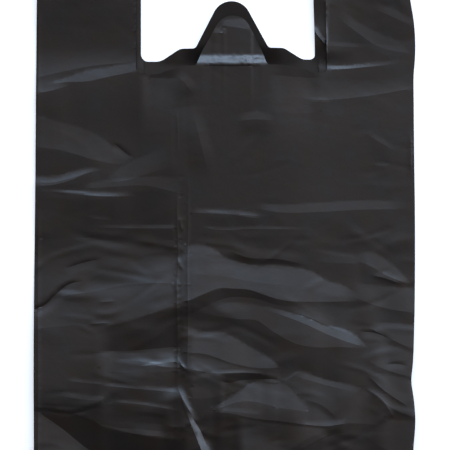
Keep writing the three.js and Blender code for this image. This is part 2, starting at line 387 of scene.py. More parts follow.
# %% The upper body
upper_bands = [
    # the facet below the left handle, and the brown hollow under it
    facet(foot=[(-142, 68), (-120, 61), (-98, 54), (-84, 45), (-68, 35)],
          crest=[(-142, 43), (-122, 41), (-98, 34), (-84, 31), (-68, 31)], tilt=4.8, fall=90,
          fade=(4, 20)),
    facet([(-142, 40, 22), (-122, 40, 23), (-98, 33, 27), (-90, 28, 27.5)], tilt=-2.5, fade=(4, 10)),
    facet(foot=[(-142, 22), (-128, 21), (-112, 25.5), (-98, 28.2), (-92, 28.4)],
          crest=[(-142, 14.5), (-128, 15), (-114, 18.5), (-102, 23.5), (-92, 26)], tilt=9.5, fall=70,
          fade=(1, 8)),
    facet([(-142, 19.4, 17.4), (-128, 18.8, 16.8), (-112, 23.2, 20.6), (-98, 26.6, 25.4)], tilt=7,
          fall=14, fade=(1, 10)),
    facet(foot=[(-136, 12.6), (-122, 11.5), (-108, 11), (-95, 10.4), (-80, 9.6), (-66, 9)],
          crest=[(-136, 11), (-122, 9.4), (-108, 8), (-96, 6.7), (-80, 6.4), (-66, 6.6)], tilt=8.5,
          fade=(14, 10)),
    facet([(-124, 11.2, 9.8), (-112, 10.9, 9.2), (-100, 10.2, 8.4)], tilt=10, fall=20, fade=(8, 4)),
    facet([(-104, 9.2, 7.6), (-92, 8.8, 6.8), (-76, 8.2, 6.9)], tilt=11, fall=20, fade=(3, 8)),
    # the fan that runs up to the right from there
    facet([(-88, 20, 17), (-72, 31, 18.5), (-58, 37, 23), (-38, 46, 29)], tilt=5.2, fade=(8, 22)),
    facet([(-108, 15, 12), (-84, 19, 13.5), (-60, 21, 14.5), (-30, 20, 8)], tilt=5, fade=(12, 12)),
    facet([(-142, 6, -26), (-90, 5, -24), (-50, 10, -26), (-30, 4, -26)], tilt=-1.6, fall=70,
          fade=(4, 10)),
    # level streaks across the middle
    facet([(22, 1.5, -2), (40, 0.5, -5.2), (70, 1.8, -5), (104, 3.5, -3.2), (136, 2.5, -3)], tilt=6.5,
          fall=70, fade=(10, 16)),
    facet([(-26, -2.9, -5.4), (0, -3.2, -6.6), (16, -4.6, -7.4), (34, -7, -8.8)], tilt=8, fall=40,
          fade=(8, 14)),
    facet([(-14, -3.6, -5), (-4, -4, -5.8), (6, -4.6, -6.2)], tilt=6, fall=16, fade=(3, 5)),
    facet([(8, -5.4, -7), (16, -6, -8.6), (28, -8, -10)], tilt=7, fall=12, fade=(3, 6)),
    facet([(-104, -14.8, -16.4), (-60, -14.6, -17.2), (-36, -14.4, -17.2)], tilt=9, fall=30,
          fade=(36, 2)),
    facet([(-16, -15, -16.6), (-4, -16.4, -18.4), (20, -15.4, -17.6), (70, -17, -18.6)], tilt=7,
          fall=30, fade=(4, 36)),
    facet([(-104, -6.8, -8.2), (-90, -8.6, -10.6), (-84, -9.4, -11)], tilt=4, fall=20, fade=(6, 4)),
    # soft light places on the right
    facet([(20, 98, 72), (50, 98, 68), (80, 92, 70)], tilt=0.7, fall=90, fade=(20, 20), over="crest"),
    facet([(104, 56, 53.5), (114, 52, 47.5), (127, 43, 40)], tilt=4, fall=16, fade=(8, 8)),
    facet([(110, 31.4, 29.8), (117, 31.6, 29.4), (124, 31.2, 29.6)], tilt=5, fall=10, fade=(5, 5)),
    facet([(60, 79.6, 77.2), (71, 79.8, 76.4), (82, 79, 76.8)], tilt=4, fall=14, fade=(8, 8)),
    facet([(8, 66, 62), (22, 69.5, 63.4), (38, 66, 62.6)], tilt=5, fall=14, fade=(8, 8)),
]
upper_folds = [
    crease([(-83, 46.5), (-76, 41), (-69, 35)], rise=-0.4, up=1.6, down=6, fade=(0.3, 0.2)),
    crease([(-38, 97), (-30, 91), (-22, 80)], rise=0.6, up=6, down=16, fade=(0.45, 0.45)),
    crease([(-25, 76), (-18.5, 50), (-11.5, 20)], rise=1, up=7, down=22, fade=(0.45, 0.45)),
    crease([(-41, 100), (-40, 60), (-38, 4)], rise=1, up=12, down=34),
    crease([(-35.5, 74), (-34.6, 55), (-34.8, 34)], rise=0.22, up=1.3, down=1.7),
]

# %% The lower body, left of the packing crease
left_bands = [
    facet([(-142, -38, -80), (-125, -34, -66), (-108, -29, -58), (-90, -25.5, -50), (-70, -27, -40),
          (-40, -30, -33)], tilt=1.8, fall=220, fade=(3, 10)),
    facet(foot=[(-124, -66), (-108, -60), (-92, -55), (-80, -53), (-60, -44), (-48, -38), (-32, -36),
          (-20, -33)],
          crest=[(-124, -68), (-108, -65.5), (-92, -63), (-78, -60), (-60, -58), (-46, -57.5),
          (-32, -58.5), (-20, -58)], tilt=2.6, fall=220, fade=(16, 18), over="crest"),
    facet(foot=[(-142, -82), (-124, -69), (-100, -64), (-78, -61), (-46, -59), (-20, -59)],
          crest=[(-142, -92), (-124, -90), (-100, -88), (-84, -89), (-70, -86), (-46, -77), (-20, -68)],
          tilt=3.2, fall=220, fade=(3, 18)),
    facet([(-96, -92, -108), (-78, -87, -108), (-60, -82, -107), (-38, -76, -105), (-24, -74, -104)],
          tilt=-8.5, fall=220, fade=(14, 14)),
    facet([(-99, -109.5, -119), (-85, -109, -123), (-60, -108.4, -123.5), (-20, -107, -122)], tilt=3.4,
          fall=160, fade=(10, 14)),
    facet([(-54, -110, -118), (-44, -109.6, -119.5), (-32, -109.4, -120)], tilt=4.5, fall=40,
          fade=(8, 3)),
    facet([(-95, -109.6, -112.5), (-70, -109.4, -114.5), (-50, -109, -117.5)], tilt=3.5, fall=16,
          fade=(8, 8)),
    facet([(-142, -131, -148), (-104, -133, -150), (-76, -135, -152)], tilt=-2.6, fade=(12, 30),
          over="crest"),
    facet([(-62, -118, -119.4), (-46, -114.6, -117), (-34, -114, -116.6), (-28, -119, -121)], tilt=10,
          fall=10, fade=(6, 3)),
    facet([(-118, -127.5, -129.5), (-105, -129, -131.4), (-90, -131, -132.6)], tilt=7, fall=14,
          fade=(6, 4)),
    facet([(-92, -131.4, -133.4), (-66, -133, -135.6), (-34, -135.6, -138.4)], tilt=12, fall=12,
          fade=(12, 4)),
    facet([(-122, -138, -141), (-104, -140.6, -144), (-84, -142, -144.6)], tilt=5, fall=12,
          fade=(8, 10)),
    facet([(-84, -143.4, -145.4), (-64, -145, -147), (-38, -148.6, -150.8)], tilt=11, fall=12,
          fade=(10, 6)),
    facet([(-138, -146, -150), (-112, -148, -156), (-84, -147, -164), (-60, -149, -166),
          (-30, -152, -168)], tilt=-4.6, fade=(8, 10)),
    facet([(-140, -149, -152), (-120, -152, -166), (-104, -157, -179), (-86, -165, -190),
          (-66, -169, -192), (-46, -172, -192), (-22, -174, -190)], tilt=-11, fade=(6, 22)),
    facet([(-48, -139, -160), (-36, -137, -164), (-24, -138, -160)], tilt=3.2, fade=(10, 5),
          over="crest"),
    facet([(-29, -136, -146), (-18, -134, -153), (-7, -139, -151)], tilt=2.6, fall=50, fade=(5, 5)),
    facet([(-90, -160, -163), (-66, -161, -169), (-42, -162, -171)], tilt=5, fall=30, fade=(10, 8)),
    facet([(-142, -156, -190), (-130, -161, -190), (-116, -168, -191), (-100, -184, -192)], tilt=1.8,
          fall=50, fade=(2, 10)),
]
left_folds = [
    crease([(-142, -77.5), (-134, -74.5), (-124, -65), (-115, -58.5), (-103.5, -56.3)], rise=-0.9, up=2,
           down=8, fade=(0.05, 0.3)),
    crease([(-120, -48), (-106, -43), (-90, -39.5)], rise=-0.4, up=1.8, down=7),
    crease([(-101, -88), (-84, -87)], rise=0.3, up=1.8, down=2, under="even"),
    crease([(-94, -72), (-80, -71)], rise=0.22, up=1.8, down=2, under="even"),
    crease([(-138, -152), (-112, -154.5), (-97, -151)], rise=-0.22, up=2, down=2, under="even"),
]

# %% The lower body, right of the packing crease
right_bands = [
    # the big arch, a second facet inside it, and the dark wedge under it
    facet(foot=[(-40, -32), (-26, -29), (-10, -31), (0, -38), (16, -43.5), (40, -44.5), (58, -47),
          (66, -49.5), (75, -55.5), (88, -59.3), (104, -70.5)],
          crest=[(-40, -73), (-26, -70), (-14, -65), (-3, -61.2), (8, -61.8), (19, -62.6), (25, -64.8),
          (43, -70.2), (65, -71.4), (86, -71.4), (104, -70.8)], tilt=10.2, fall=240, fade=(18, 22)),
    facet([(-38, -34, -50), (0, -40, -53), (30, -46, -58), (60, -50, -60)], tilt=2.4, fade=(16, 24)),
    facet(foot=[(-34, -72), (-26, -70.4), (-14, -65.4), (0, -62), (19, -62.9), (43, -70.6),
          (60, -72.6)],
          crest=[(-34, -84), (-24, -80), (-10, -73), (0, -69), (19, -68.5), (43, -74.5), (60, -75)],
          tilt=-6, fade=(10, 30)),
    facet(foot=[(44, -72), (65, -72.6), (86, -72.6), (104, -72)],
          crest=[(44, -77.6), (60, -82), (75, -88.6), (104, -100)], tilt=6.4, fall=90, fade=(16, 44),
          over="crest"),
    facet([(-40, -110, -136), (-26, -111, -142), (-10, -113, -142), (6, -118, -138), (22, -122, -131)],
          tilt=3.6, fall=120, fade=(10, 12)),
    # the second band and its bright rim
    facet(foot=[(-12, -77), (0, -72.3), (19, -73.2), (43, -77.8), (60, -82.5), (75, -89), (86, -90.8),
          (95, -94.5), (107, -105.7)],
          crest=[(-12, -80), (-4, -82), (10, -84.3), (24, -85.3), (37, -94), (52, -102), (65, -104.8),
          (86, -105), (107, -106)], tilt=6.6, fall=200, fade=(12, 16)),
    facet([(30, -75.4, -77), (43, -77.9, -81.5), (60, -82.6, -88), (75, -89.1, -95), (86, -90.9, -99.5),
          (95, -94.6, -102.5), (107, -105.7, -106)], tilt=8.5, fade=(20, 6)),
    # the third facet and the dark pocket under it
    facet(foot=[(-38, -89), (-24, -90.8), (-18, -92.7), (0, -94.5), (19, -104.8), (37, -115.9),
          (41, -119.6)],
          crest=[(-38, -108), (-24, -109), (-14, -110), (-7, -112.2), (6, -116.8), (26, -120.5),
          (41, -120)], tilt=9.6, fall=240, fade=(16, 3)),
    facet([(26, -116, -130), (40, -117.5, -131), (58, -116, -122)], tilt=4.5, fade=(10, 8),
          over="crest"),
    facet([(-4, -124.4, -129), (0, -124.3, -130.8), (13, -123.7, -129.5), (26, -125, -128.6),
          (40, -127.6, -128.8)], tilt=-11, fade=(5, 4)),
    facet([(-30, -111, -120), (-7, -113.5, -124), (10, -118.5, -123.6), (30, -122, -124.4)], tilt=7,
          fall=80, fade=(8, 8), over="crest"),
    # the wide facets at the bottom
    facet(foot=[(-10, -150), (6, -141), (19, -132), (43, -130.6), (54, -122.6), (71, -128),
          (102, -136.3), (128, -158)],
          crest=[(-10, -152.5), (6, -154), (19, -157), (43, -159.6), (63, -162.4), (75, -163.3),
          (89, -161.5), (128, -164)], tilt=8.2, fall=180, fade=(6, 44)),
    facet(foot=[(-8, -150), (6, -141), (19, -132), (43, -131), (62, -150)],
          crest=[(-8, -151.5), (6, -146.5), (13, -145), (43, -150), (62, -152.5)], tilt=5.4, fall=30,
          fade=(6, 3)),
    facet([(52, -122.4, -126), (71, -128, -132), (102, -136, -139.5)], tilt=5.4, fall=30, fade=(6, 20)),
    facet([(50, -158.5, -160.4), (64, -160, -162.4), (75, -160, -163.3), (90, -158, -161.4)], tilt=8,
          fall=30, fade=(10, 4)),
    facet([(-6, -148.5, -151), (10, -150, -153), (30, -153, -155)], tilt=5, fall=16, fade=(6, 10)),
    facet([(19, -157.2, -159.5), (43, -160, -162.6), (64, -163, -164.5)], tilt=-2, fall=20,
          fade=(6, 6)),
    facet([(6, -156, -184), (19, -158.5, -185), (43, -161.5, -186), (60, -163.6, -178),
          (80, -165.6, -168)], tilt=8, fall=80, fade=(8, 8)),
    facet([(40, -186, -190), (62, -172, -177), (86, -164, -168)], tilt=-5, fall=30, fade=(4, 8)),
    # the right edge
    facet(foot=[(98, -35), (112, -35.5), (124, -43.5), (138, -57)],
          crest=[(98, -41), (108, -45), (120, -52), (138, -59)], tilt=7, fall=30, fade=(8, 3)),
    facet([(62, -36, -41), (84, -38, -43), (104, -38, -43)], tilt=3, fall=40, fade=(16, 8)),
    facet([(92, -57, -67), (118, -60, -76), (142, -62, -80)], tilt=7.5, fall=150, fade=(18, 3)),
    facet([(106, -87, -90), (121, -87, -98), (142, -88.6, -108)], tilt=7.5, fall=150, fade=(8, 3)),
    facet([(100, -101, -112), (120, -103, -122), (142, -110, -128)], tilt=7.6, fall=150, fade=(20, 3)),
    facet([(70, -106, -122), (92, -107, -136), (128, -102, -140)], tilt=2.4, fall=120, fade=(18, 16),
          over="soft"),
    facet([(100, -122, -132), (124, -126, -150), (142, -130, -158)], tilt=7.2, fall=150, fade=(22, 3)),
    facet([(100, -150, -168), (122, -158, -182), (142, -160, -188)], tilt=5.4, fade=(24, 3)),
]
right_folds = [
    crease([(0, -32), (16, -38.5), (40, -40), (64, -45)], rise=0.55, up=8, down=3.4, over="soft",
           under="even"),
    crease([(98, -93.5), (111, -94.5), (125, -100)], rise=-0.5, up=1.6, down=6),
    crease([(104, -124), (118, -137), (136, -149)], rise=0.4, up=7, down=2, under="even",
           fade=(0.2, 0.1)),
    crease([(104, -135), (117, -144.5), (125, -157)], rise=0.55, up=2.4, down=28, fade=(0.25, 0.1)),
    crease([(106, -51), (120, -54.5), (134, -59.6)], rise=0.4, up=5, down=2, over="soft", under="even"),
    crease([(58, -143), (72, -148), (84, -158)], rise=0.35, up=10, down=3, over="soft", under="even",
           fade=(0.3, 0.2)),
    crease([(119, -118), (128, -117.5), (136, -119.5)], rise=-0.35, up=1.6, down=5),
]

# %% The packing crease down the front
crease_folds = [
    crease([(-34.4, 24), (-34.9, -10), (-34.2, -40), (-35.2, -66), (-34.4, -96), (-34.9, -126)],
           rise=0.42, up=1.3, down=1.7, fade=(0.25, 0.05)),
    crease([(-27.2, 30), (-26.7, -8), (-27.4, -44), (-26.8, -84), (-27.6, -125)], rise=0.36, up=1.3,
           down=1.7, fade=(0.3, 0.05)),
    # glints where it crosses the bigger folds
    crease([(-34.5, -38), (-33.4, -43), (-30, -49)], rise=0.5, up=2.2, down=2.2, fade=(0.4, 0.4)),
    crease([(-35, -54), (-35.4, -60), (-35, -67)], rise=0.42, up=1.5, down=2.4),
    crease([(-35, -112), (-31.5, -118), (-27, -123.5)], rise=0.6, up=2.2, down=2.2),
    crease([(-33, -8), (-32.4, -14), (-31, -20)], rise=0.4, up=1.6, down=2.2),
    # the crooked end of it, which stands up steeply
    crease([(-35, -133), (-31.5, -142), (-28.4, -151), (-22.6, -167), (-17, -181), (-11, -200),
           (-7, -226)], rise=2.5, up=(3.3, 12), down=(24, 36), fade=(0.1, 0.42)),
    crease([(-24, -163), (-17, -181), (-11, -200), (-7, -226)], rise=1.5, up=(4, 12), down=(20, 30),
           fade=(0.3, 0.4)),
    crease([(-32, -140), (-28.5, -147), (-24.5, -154)], rise=0.8, up=2, down=3),
    crease([(-25, -155), (-18, -166), (-13, -178)], rise=-0.7, up=2.4, down=2.4, under="even"),
    # the film doubles back along its left side
    crease([(-137.9, 6), (-138.3, -60), (-138, -120), (-138.2, -205)], rise=0.55, up=1.5, down=1.6,
           fade=(0.2, 0.1)),
    crease([(-137.4, 150), (-137.9, 118), (-138, 84), (-138.6, 56)], rise=0.45, up=1.5, down=1.6,
           fade=(0.2, 0.3)),
    # a light crease up the tongue's right side
    crease([(22, 133), (24.5, 124), (27.5, 115)], rise=0.32, up=1.6, down=2.6),
    crease([(138, 58), (138.3, 40), (138.1, 20)], rise=0.5, up=1.2, down=2.2),
    # the edges of the handle and of the mouth curl up a little where the knife left them
    crease([(75.7, 152), (75.5, 125), (75.2, 112), (73.6, 101)], rise=0.8, up=1.3, down=1.4,
           fade=(0.02, 0.1)),
    crease([(-66.3, 154), (-66.3, 125), (-66.2, 106)], rise=0.42, up=1.3, down=1.5, fade=(0.02, 0.1)),
]
placed_folds = upper_folds + left_folds + right_folds + crease_folds
placed_bands = handle_bands + upper_bands + left_bands + right_bands
print(len(placed_folds) + len(placed_bands), "folds are placed by hand")

# %% The lines of the creases, for the mesh to follow


def in_steps(line, step):
    """A line with points at most a step apart, as two rows of x and y."""
    return np.array(spaced([tuple(p) for p in line], step)).T


crease_lines = []
for f in placed_bands:
    ends = max(f["foot"][0][0], f["crest"][0][0]), min(f["foot"][-1][0], f["crest"][-1][0])
    run = np.linspace(*ends, max(3, math.ceil((ends[1] - ends[0]) / 2.4)))
    for edge in ("foot", "crest"):
        if edge == "foot" and f.get("over", "even") == "crest":
            continue  # this facet begins softly
        crease_lines.append((run, curve(f[edge], run), edge == "crest"))
for f in placed_folds:
    crease_lines.append((*in_steps(smooth_line(f["knots"]), 2.0), True))
crease_lines = [(*front_unplace(x, y), crisp) for x, y, crisp in crease_lines]
print(len(crease_lines), "crease lines with", sum(len(line[0]) for line in crease_lines), "points")

# %% [markdown]
# ## The flat film
#
# The tube is made of six plies: the front panel, two halves of each side's tuck, and the back panel.
# They lie four deep at the sides and two deep in the middle, and neighbours share the points of the
# fold between them. Each ply is filled with points and triangulated between its edges, close
# together where the camera looks and the folds are fine, and wide apart where nothing shows.

# %% The folds that neighbouring plies share
tuck = 60.0  # the inner fold of each side's tuck runs this far from the middle, in mm


def ladder(start, stop, step):
    """Heights up a fold, step(y) apart."""
    out = [start]
    while out[-1] + step(out[-1]) < stop - 0.4 * step(out[-1]):
        out.append(round(out[-1] + step(out[-1]), 4))
    return out + [stop]


def fine_step(y):
    return 1.7 if -186 < y < 156 else 3.6


def coarse_step(y):
    return 4.0


side_ys = ladder(-half_length, half_length, fine_step)
back_ys = ladder(-half_length, half_length, coarse_step)
print(len(side_ys), "points up a front fold,", len(back_ys), "up a back fold")

# %% The outlines of the plies, in the flat


def row(x0, x1, y, step):
    """Points along a level edge."""
    count = max(1, math.ceil(abs(x1 - x0) / step))
    return [(x0 + (x1 - x0) * k / count, y) for k in range(count + 1)]


def panel_outline(ys, step):
    """A whole panel: along the bottom, up the right, round the mouth and down the left."""
    w, h = half_width, half_length
    line = row(-w, w, -h, step)
    line += [(w, y) for y in ys[1:]]
    line += row(w, handle_right, h, step)[1:]
    line += [tuple(p) for p in knife_line[1:]]
    line += row(handle_left, -w, h, step)[1:]
    line += [(-w, y) for y in reversed(ys[1:-1])]
    return line


def tuck_outline(side, ys, step):
    """Half of a side's tuck: from its inner fold out to the fold at the bag's side."""
    w, h = half_width, half_length
    knife = [tuple(p) for p in knife_line if p[0] * side >= tuck - 1e-6]
    if side < 0:
        knife = knife[::-1]
    near = [p for p in knife_line if abs(p[0] * side - tuck) < 3 and p[1] < trough + 8]
    near.sort(key=lambda p: p[0] * side)
    top = float(np.interp(tuck, [p[0] * side for p in near], [p[1] for p in near]))
    line = row(side * tuck, side * w, -h, step)
    line += [(side * w, y) for y in ys[1:]]
    line += row(side * w, knife[0][0], h, step)[1:]
    line += knife[1:]
    if abs(knife[-1][0] * side - tuck) > 1e-6:
        line.append((side * tuck, top))
    inner = ladder(-h, top, coarse_step)
    line += [(side * tuck, y) for y in reversed(inner[1:-1])]
    return line if side > 0 else line[::-1]


outlines = {
    "front": panel_outline(side_ys, 4.0),
    "back": panel_outline(back_ys, 5.0),
}
for side, name in ((1, "right"), (-1, "left")):
    outlines["front_tuck_" + name] = tuck_outline(side, side_ys, 7.0)
    outlines["back_tuck_" + name] = tuck_outline(side, back_ys, 7.0)
print({name: len(line) for name, line in outlines.items()})

# %% Filling an outline with points


def lattice(box, dx, dy):
    """Staggered rows of points over a box of x0, y0, x1, y1."""
    rows = np.arange(box[1] + dy / 2, box[3], dy)
    out = []
    for k, y in enumerate(rows):
        xs = np.arange(box[0] + dx * (0.25 + 0.5 * (k % 2)), box[2], dx)
        out.append(np.column_stack([xs, np.full(len(xs), y)]))
    return np.vstack(out)


def within(points, line):
    """Which points are inside a closed outline."""
    x, y = points[:, 0], points[:, 1]
    odd = np.zeros(len(points), bool)
    for (x0, y0), (x1, y1) in zip(line, line[1:] + line[:1]):
        if y0 == y1:
            continue
        cross = (y0 > y) != (y1 > y)
        odd ^= cross & (x < (x1 - x0) * (y - y0) / (y1 - y0) + x0)
    return odd


def away(points, line, gap):
    """Which points are further than gap from every point of a line."""
    keep = np.ones(len(points), bool)
    for p in line:
        close = np.abs(points[:, 1] - p[1]) < gap
        keep[close] &= np.hypot(*(points[close] - p).T) > gap
    return keep


def outside(points, box):
    """Which points are outside a box."""
    x, y = points.T
    return ~((x > box[0]) & (x < box[2]) & (y > box[1]) & (y < box[3]))


seen = (-142, -186, 142, 156)
crease_strip = (-39, -186, -22, 96)
tongue_box = (-27, 84, 38, 152)
corner_box = (55, 90, 96, 156)
w, h = half_width, half_length
whole = (-w, -h, w, h)
# the box of each zone, its spacing across and up, and the boxes left out of it
zones = [
    (tongue_box, 1.3, 1.0, []),
    (corner_box, 1.5, 1.3, []),
    (crease_strip, 1.3, 1.5, [tongue_box]),
    (seen, 2.5, 1.5, [tongue_box, corner_box, crease_strip]),
    (whole, 4.6, 3.4, [seen]),
]
front_points = []
for box, dx, dy, holes in zones:
    points = lattice(box, dx, dy)
    for hole in holes:
        points = points[outside(points, hole)]
    front_points.append(points)
front_points = np.vstack(front_points)
print(len(front_points), "points for the front before the mouth is left out")

# %% The triangles of each ply
mouth_box = (-70, 98, 75, 156)
wide = lattice(whole, 5.6, 5.2)
# the points that fill each ply, and how far they keep from its edge
grids = {
    "front": [(front_points, 0.8)],
    "back": [(lattice(mouth_box, 2.6, 2.4), 1.3), (wide[outside(wide, mouth_box)], 2.6)],
}
# the plies that show inside the right handle are filled more closely by the mouth
for side, name, reach, spacing in ((1, "right", 82, 1.3), (-1, "left", 72, 2.2)):
    inner, outer = sorted((side * tuck, side * w))
    low_x, high_x = sorted((side * (w - 7), side * w))
    by_fold = (low_x, -h, high_x, h)
    low_x, high_x = sorted((side * tuck, side * reach))
    by_mouth = (low_x, 100, high_x, 160)
    wide = lattice((inner, -h, outer, h), 9.0, 8.0)
    for ply in ("front_tuck_", "back_tuck_"):
        grids[ply + name] = [(lattice(by_fold, 3.0, 3.2), 1.6),
                             (lattice(by_mouth, spacing, spacing), 1.2),
                             (wide[outside(wide, by_fold)], 3.0)]

stretch = 1.6  # the triangles are this much wider than they are high, like most of the folds
crease_gap = 0.75  # the points of the front keep this far from its creases
inside_only, same_point = 1, 0.08  # keep what is inside the border, and merge points this close
flat, creases = {}, {}
for name, outline in outlines.items():
    points = np.array(outline)
    links, crisp_links = [], set()
    for x, y, crisp in crease_lines if name == "front" else []:
        line = np.column_stack([x, y])
        keep = within(line, outline) & away(line, outline, 1.0)
        at = len(points) + np.cumsum(keep) - 1
        first = len(links)
        links += [(at[i], at[i + 1]) for i in range(len(keep) - 1) if keep[i] and keep[i + 1]]
        crisp_links |= set(range(first, len(links))) if crisp else set()
        points = np.vstack([points, line[keep]])
    for fill, gap in grids[name]:
        fill = fill[within(fill, outline)]
        fill = fill[away(fill, outline, gap)]
        fill = fill[away(fill, points[len(outline):], crease_gap if name == "front" else gap)]
        points = np.vstack([points, fill])
    spread = points / (stretch, 1)
    border = list(range(len(outline)))
    found = delaunay_2d_cdt([tuple(p) for p in spread], links, [border], inside_only, same_point)
    flat[name] = (np.array([(p[0] * stretch, p[1]) for p in found[0]]), [list(f) for f in found[2]])
    creases[name] = [e for e, source in zip(found[1], found[4]) if crisp_links.intersection(source)]
    print(name, len(flat[name][0]), "points", len(flat[name][1]), "triangles")

# %% One mesh from six plies
points, plies, faces, sharp = [], [], [], []
number = {}
for name, (spots, triangles) in flat.items():
    here = []
    for x, y in spots:
        key = (name, round(x, 3), round(y, 3))
        if name != "front" and name != "back" and abs(abs(x) - tuck) < 1e-3:
            key = ("inner fold", round(x, 3), round(y, 3))
        elif abs(abs(x) - half_width) < 1e-3:
            key = (name[:4] + " side fold", round(x, 3), round(y, 3))
        if key not in number:
            number[key] = len(points)
            points.append((x, y))
            plies.append(name)
        here.append(number[key])
    sharp += [sorted((here[a], here[b])) for a, b in creases[name]]
    up = name == "front" or name.startswith("back_tuck")
    faces += [[here[i] for i in (f if up else f[::-1])] for f in triangles]
flat_x, flat_y = np.array(points).T
plies = np.array(plies)
print(len(points), "points,", len(faces), "triangles and", len(sharp), "sharp edges in the whole tube")

# %% The slide of every point
slide_x, slide_y = np.zeros(len(points)), np.zeros(len(points))
front = plies == "front"
slide_x[front], slide_y[front] = front_slide(flat_x[front], flat_y[front])
for kind, share in (("front_tuck", 1.0), ("back_tuck", 0.0)):
    these = np.char.startswith(plies, kind)
    slide_x[these], slide_y[these] = tuck_slide(flat_x[these], flat_y[these], share)
placed_x = flat_x + slide_x
placed_y = flat_y + slide_y
placed_x = placed_x + wander(flat_x, placed_y)
print("the front slides down by up to", round(float(-slide_y.min()), 1), "mm")

# %% The height of the front film, in mm
left_of_crease = [(-250, 0), (-205, 7.6), (-160, 8.2), (-130, 7.4), (-100, 5.4), (-64, 3.4), (-38, 0)]
by_the_edge = [(-250, 0), (-205, 3.2), (-150, 4.0), (-105, 4.0), (-80, 2.4), (-50, 0.8), (-30, 0)]


def resting(x, y):
    """How high the slack front film lies before its folds are added: low at the welds, and arched up
    at the mouth, where the tongue drops from the arch and lies down on the other tongue."""
    rise = hump(y, -262, -180, 205, 262)
    belly = 1.1 + 1.6 * (1 - np.clip(np.abs(x) / 142, 0, 1) ** 3)
    along_body = [(-210, 0), (-110, 0.28), (-60, 0.48), (20, 0.75), (104.6, 1.0)]
    body = curve(along_body, np.minimum(y, 104.6))
    steep = body * np.interp(y, [104.6, 111.2, 140], [1, 0.61, 0.50])
    gentle = body * (1 - 0.8 * ease(y, 104.6, 165))
    in_tongue = 1 - ease(np.abs(x - 5.5), 26, 34)
    arch = 8.2 * np.exp(-((x - 5) / 66) ** 4) * (in_tongue * steep + (1 - in_tongue) * gentle)
    swells = (
        # in the lower left corner, left of the packing crease, and by the right edge
        3.2 * hump(y, -250, -190, -165, -60) * (1 - ease(x, -62, -28))
        + curve(left_of_crease, y) * hump(x, -112, -44, -40, -22)
        + curve(by_the_edge, y) * hump(x, 80, 103, 103, 124)
        # over the handles, and at the cut edge of the right one
        + 4.2 * hump(y, 104, 172, 184, 254) * (1 - 0.65 * ease(x, -62, 40))
        + 1.6 * hump(x, 58, 70, 76, 100) * hump(y, 104, 116, 150, 200)
    )
    return 0.5 + belly * rise + arch + swells


def front_height(x, y):
    """The resting height and every fold, which die away towards the welds."""
    z = np.zeros(len(x))
    for f in placed_bands:
        z = z + band(x, y, **f)
    for f in placed_folds + small_folds:
        z = z + fold(x, y, **f)
    return resting(x, y) + z * hump(y, -264, -196, 205, 262)


# %% Small creases, strewn by a seeded dice


def strew(seed, count, box, rise, length, width, tilt=25):
    """Many short creases, mostly level, as film gets from being handled."""
    dice = random.Random(seed)
    out = []
    for _ in range(count):
        x, y = dice.uniform(box[0], box[2]), dice.uniform(box[1], box[3])
        long = dice.uniform(*length) / 2
        turn = math.radians(dice.gauss(0, tilt))
        c, s = math.cos(turn) * long, math.sin(turn) * long
        bend = dice.gauss(0, 0.12) * long
        out.append(dict(
            knots=[(x - c, y - s), (x - bend * math.sin(turn), y + bend), (x + c, y + s)],
            rise=dice.uniform(*rise) * dice.choice((1, 1, -1)),
            up=dice.uniform(*width), down=dice.uniform(*width),
            over=dice.choice(("even", "soft", "crest")), fade=(0.4, 0.4)))
    return out


small_folds = (
    strew(11, 130, (-140, -266, 140, -20), (0.10, 0.32), (18, 70), (2.0, 6), 22)
    + strew(12, 90, (-140, -20, 140, 266), (0.03, 0.11), (15, 60), (2.5, 7), 25)
    + strew(13, 40, (-140, -266, 140, -20), (0.2, 0.5), (30, 90), (8, 16), 18)
    + strew(14, 22, (-130, -250, 130, -190), (0.5, 1.2), (50, 130), (5, 14), 16)
    + strew(15, 12, (-136, 156, -66, 250), (0.2, 0.6), (30, 70), (5, 12), 25)
    + strew(16, 12, (70, 156, 132, 250), (0.2, 0.6), (30, 70), (5, 12), 25)
    + strew(31, 26, (-18, 104.5, 29, 112), (0.15, 0.45), (3, 8), (0.9, 1.8), 60)
    + strew(41, 34, (-34.0, -128, -28.0, 28), (0.08, 0.24), (3, 6), (1.0, 1.9), 18)
)
print(len(small_folds), "small creases")

# %% The height of each ply
start_height = 0.06  # the back panel's underside lies this far above the table, in mm


def back_height(x, y):
    """How high the back panel lies, in mm."""
    z = np.zeros(len(x))
    for f in back_folds:
        z = z + np.abs(fold(x, y, **f))
    # at the mouth the back panel curls up a little towards its cut edge
    inside = hump(x, -56, -40, 48, 62) * (1 - ease(y, 156, 176))
    lip = math.tan(math.radians(8.0)) * np.clip(y - 104, 0, 53) * inside
    # it steps up to its tongue, so the wedges beside the front tongue face away from the light
    step = 2.2 * hump(y, 105, 119, 156, 180) * (1 - ease(np.abs(x - 7), 29, 40))
    # and so does the nook under the cut edge of the right handle
    nook = 2.6 * hump(x, 62, 66, 78, 86) * hump(y, 105, 124, 128, 150)
    return start_height + z + lip + step + nook


back_folds = strew(21, 70, (-140, -266, 140, 266), (0.1, 0.35), (30, 110), (8, 16), 30)
under = back_height(placed_x, placed_y)
over = np.maximum(front_height(placed_x, placed_y), under + 0.9)
gap = over - under
from_side = half_width - np.abs(flat_x)
round_over = np.sqrt(1 - (1 - np.clip(from_side / 4.0, 0, 1)) ** 2)

